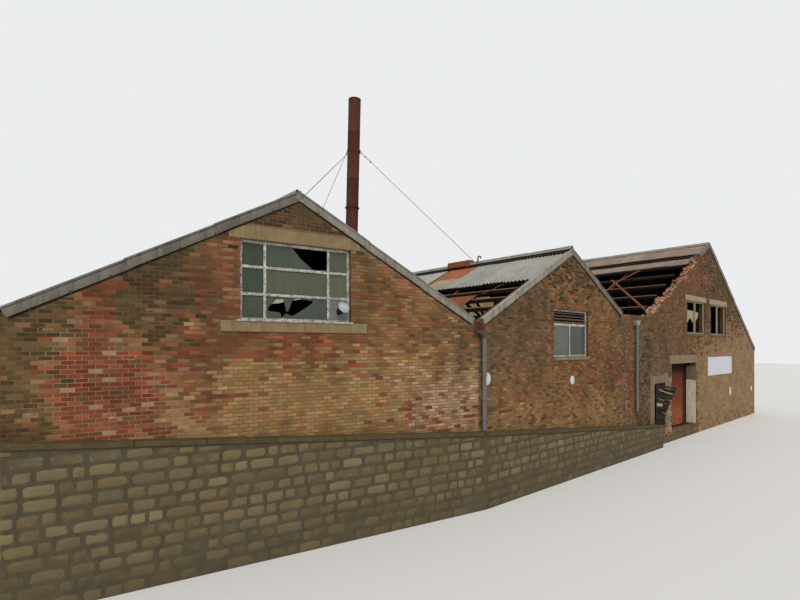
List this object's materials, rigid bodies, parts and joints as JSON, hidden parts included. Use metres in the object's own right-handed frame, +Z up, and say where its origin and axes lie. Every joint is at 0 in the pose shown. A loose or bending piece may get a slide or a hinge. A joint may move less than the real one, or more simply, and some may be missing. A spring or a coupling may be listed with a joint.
{
  "type": "derelict factory building",
  "caption": "Derelict brick factory of parallel gabled sheds with valley gutters, partly stripped corrugated roofs, a guyed steel stack, a shuttered doorway and a hatch.",
  "frame": {"origin": "front corner between the left and the middle shed, at the level of the lowest ground", "axes": "+X along the two right-hand fronts, +Y back along the ridges, +Z up"},
  "size_m": [38.4723, 16.6965, 14.4557],
  "materials": {
    "brick_red": "weathered red brick",
    "brick_grey": "weathered grey-brown brick",
    "brick_plain": "plain brick of the hidden sides",
    "rubble": "weathered base masonry",
    "concrete": "weathered concrete",
    "render": "flaking light render",
    "cement_sheet": "weathered corrugated sheets",
    "brown_sheet": "brownish corrugated sheets",
    "rusty_steel": "rusted steel sections",
    "rusty_sheet": "rusted steel sheet",
    "stack_rust": "rusted steel tube",
    "white_paint": "weathered white paint",
    "obscured_glass": "dirty obscured glass",
    "old_wood": "rotten grey wood",
    "white_board": "blank white board",
    "grey_iron": "light grey painted cast iron"
  },
  "bodies": {
    "root": {"left_gable_wall": "brick_red", "middle_gable_wall": "brick_red", "right_gable_wall": "brick_grey", "left_side_wall": "brick_plain", "right_side_wall": "brick_plain", "back_wall": "brick_plain", "concrete_floor": "concrete", "concrete_lintels": "concrete", "concrete_sills": "concrete", "base_wall": "rubble", "base_ledge": "concrete", "left_roof_west": "cement_sheet", "left_roof_east": "cement_sheet", "middle_roof_west": "cement_sheet", "middle_roof_east": "cement_sheet", "right_roof_west": "brown_sheet", "right_roof_east": "brown_sheet", "ridge_caps": "cement_sheet", "verge_boards": "cement_sheet", "valley_posts": "rusty_steel", "valley_beams": "rusty_steel", "valley_gutters": "rusty_steel", "left_trusses": "rusty_steel", "middle_trusses": "rusty_steel", "right_trusses": "rusty_steel", "left_purlins": "rusty_steel", "middle_purlins": "rusty_steel", "right_purlins": "rusty_steel", "right_roof_braces": "rusty_steel", "loose_sheets": "rusty_sheet", "left_window_frame": "white_paint", "window_vent": "white_paint", "middle_window_frame": "white_paint", "window_louvre": "white_paint", "right_window_frames": "white_paint", "hanging_board": "old_wood", "shutter_guides": "rusty_steel", "roller_shutter": "rusty_sheet", "hatch_surround": "render", "broken_leaf": "old_wood", "signboard": "white_board", "downpipes": "grey_iron", "ridge_vents": "rusty_sheet", "steel_stack": "stack_rust", "stack_guys": "rusty_steel", "back_window_frames": "white_paint", "window_glass": "obscured_glass"}
  },
  "joints": []
}
